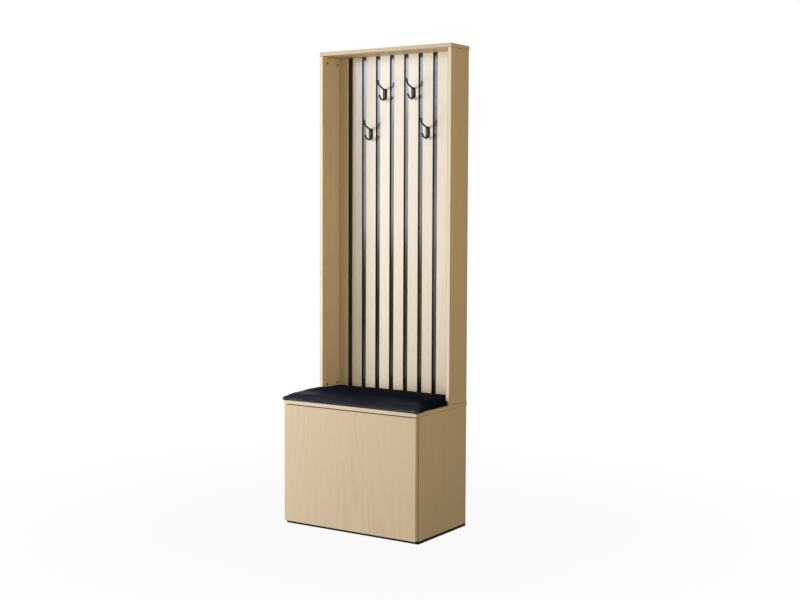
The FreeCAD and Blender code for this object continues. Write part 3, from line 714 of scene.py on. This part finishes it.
LAMPS = {
    "key": {"place": (-3.07, -2.07, 1.05), "aim": (0.0, 0.1, 0.9), "size": (1.2, 1.8),
            "tint": (0.93, 1.0, 1.09), "watts": 130.0},
    "window_high": {"place": (-2.45, -3.30, 2.55), "aim": (0.0, 0.1, 1.3), "size": (0.8, 1.3),
                    "tint": (0.87, 1.0, 1.20), "watts": 40.0},
    "window_low": {"place": (-2.45, -3.30, 1.45), "aim": (0.0, 0.1, 1.1), "size": (0.8, 0.9),
                   "tint": (0.93, 1.0, 1.09), "watts": 11.0},
    "front": {"place": (-1.50, -4.20, 0.80), "aim": (0.0, 0.0, 0.7), "size": (1.6, 1.0),
              "tint": (1.0, 0.97, 0.90), "watts": 25.0},
    "fill": {"place": (2.40, -0.70, 1.60), "aim": (0.25, 0.0, 1.2), "size": (0.9, 0.9),
             "tint": (1.0, 0.90, 0.62), "watts": 21.5},
    "fill_low": {"place": (1.70, -1.50, 0.70), "aim": (0.0, 0.0, 0.6), "size": (0.7, 0.7),
                 "tint": (1.0, 0.88, 0.55), "watts": 4.0},
    "top": {"place": (-0.30, 0.70, 3.40), "aim": (0.0, 0.0, 1.8), "size": (1.0, 1.0),
            "tint": (1.0, 0.98, 0.95), "watts": 14.0},
    "back": {"place": (-1.60, 3.00, 1.80), "aim": (0.0, 0.1, 0.9), "size": (1.4, 1.4),
             "tint": (1.0, 0.97, 0.92), "watts": 50.0},
}
CAMERA_PLACE = (2.7563, -4.0679, 1.2189)
CAMERA_TURN = math.radians(33.04)
CAMERA_PITCH = math.radians(3.59)
CAMERA_ROLL = math.radians(0.24)
CAMERA_SENSOR = 36.0
CAMERA_LENS = 58.28
CAMERA_SHIFT = -0.015


def seen_rays(tree):
    """1 for what the eye sees, straight, in a gloss or through glass, and 0 for the light that it sheds."""
    path = shader_node(tree, "LightPath", {}).outputs
    seen = arithmetic(tree, "MAXIMUM", path["Is Camera Ray"], path["Is Glossy Ray"])
    return arithmetic(tree, "MAXIMUM", seen, path["Is Transmission Ray"])


def floor_material():
    """Pale and matt to the light. To the eye it is lifted towards white, half way close to the footprint,
    where the stand's shadow lies, and all the way past the fade."""
    made = bpy.data.materials.new("pale_floor")
    made.use_nodes = True
    tree = made.node_tree
    tree.nodes.clear()
    place = shader_node(tree, "TexCoord", {}).outputs["Object"]
    footprint = (cad_box[1][0], cad_box[1][1], 0.0)
    apart = vector_arithmetic(tree, "SUBTRACT", vector_arithmetic(tree, "ABSOLUTE", place), footprint)
    apart = vector_arithmetic(tree, "MAXIMUM", apart)
    reach = shader_node(tree, "VectorMath", {0: apart}, operation="LENGTH").outputs["Value"]
    near = ranged(tree, reach, *CONTACT_FADE, *CONTACT_LIFT)
    lift = arithmetic(tree, "MAXIMUM", near, ranged(tree, reach, *FLOOR_FADE, CONTACT_LIFT[1], 1.0))
    matt = shader_node(tree, "BsdfDiffuse", {"Color": FLOOR_PALE})
    white = shader_node(tree, "Emission", {"Color": WHITE, "Strength": 1.0})
    share = arithmetic(tree, "MULTIPLY", lift, seen_rays(tree))
    both = shader_node(tree, "MixShader", {0: share, 1: matt.outputs[0], 2: white.outputs[0]})
    shader_node(tree, "OutputMaterial", {"Surface": both.outputs[0]})
    return made


def flag_cloth():
    """Black felt without gloss."""
    made, tree, shader, place = new_material("flag_felt")
    fill(tree, shader["Base Color"], mixed(tree, noise(tree, place, FLAG_NAP), *FLAG_BLACKS))
    shader["Specular IOR Level"].default_value = 0.0
    return made


def flat_panel(name, centre, across, up, finish):
    """A plain rectangle: point(u, v) = centre + u across + v up, where u and v are 1 or -1 at its corners."""
    u = np.array([[-1.0], [1.0], [1.0], [-1.0]])
    v = np.array([[-1.0], [-1.0], [1.0], [1.0]])
    corners = np.array(centre) + u * np.array(across) + v * np.array(up)
    mesh = bpy.data.meshes.new(name)
    mesh.from_pydata(corners.tolist(), [], [(0, 1, 2, 3)])
    mesh.materials.append(finish)
    panel = bpy.data.objects.new(name, mesh)
    bpy.context.scene.collection.objects.link(panel)
    return panel


def softbox(name, lamp):
    """A soft rectangular lamp, turned to face its aim, that the camera doesn't see."""
    light = bpy.data.lights.new(name, "AREA")
    light.shape = "RECTANGLE"
    light.size, light.size_y = lamp["size"]
    light.energy = lamp["watts"]
    light.color = lamp["tint"]
    made = bpy.data.objects.new(name, light)
    made.location = lamp["place"]
    heading = Vector(lamp["aim"]) - Vector(lamp["place"])
    made.rotation_euler = heading.to_track_quat("-Z", "Y").to_euler()
    made.visible_camera = False
    bpy.context.scene.collection.objects.link(made)


floor = flat_panel("floor", (0.0, 0.0, 0.0), (FLOOR_HALF, 0.0, 0.0), (0.0, FLOOR_HALF, 0.0), floor_material())

felt = flag_cloth()
for name, sizes in FLAGS.items():
    flag = flat_panel(name, finish=felt, **sizes)
    flag.visible_camera = False

world = bpy.data.worlds.new("surround")
bpy.context.scene.world = world
world.use_nodes = True
sky = world.node_tree
sky.nodes.clear()
ambient = shader_node(sky, "Background", {"Color": WORLD_TINT, "Strength": WORLD_LEVEL})
backdrop = shader_node(sky, "Background", {"Color": WHITE, "Strength": 1.0})
surround = shader_node(sky, "MixShader", {0: seen_rays(sky), 1: ambient.outputs[0], 2: backdrop.outputs[0]})
shader_node(sky, "OutputWorld", {"Surface": surround.outputs[0]})

for name, lamp in LAMPS.items():
    softbox(name, lamp)

lens = bpy.data.cameras.new("camera")
lens.sensor_width = CAMERA_SENSOR
lens.lens = CAMERA_LENS
lens.shift_y = CAMERA_SHIFT
camera = bpy.data.objects.new("camera", lens)
turn = Matrix.Rotation(CAMERA_TURN, 4, "Z") @ Matrix.Rotation(math.pi / 2 - CAMERA_PITCH, 4, "X")
camera.matrix_world = Matrix.Translation(CAMERA_PLACE) @ turn @ Matrix.Rotation(CAMERA_ROLL, 4, "Z")
bpy.context.scene.collection.objects.link(camera)
bpy.context.scene.camera = camera
bpy.context.scene.view_settings.view_transform = "Standard"
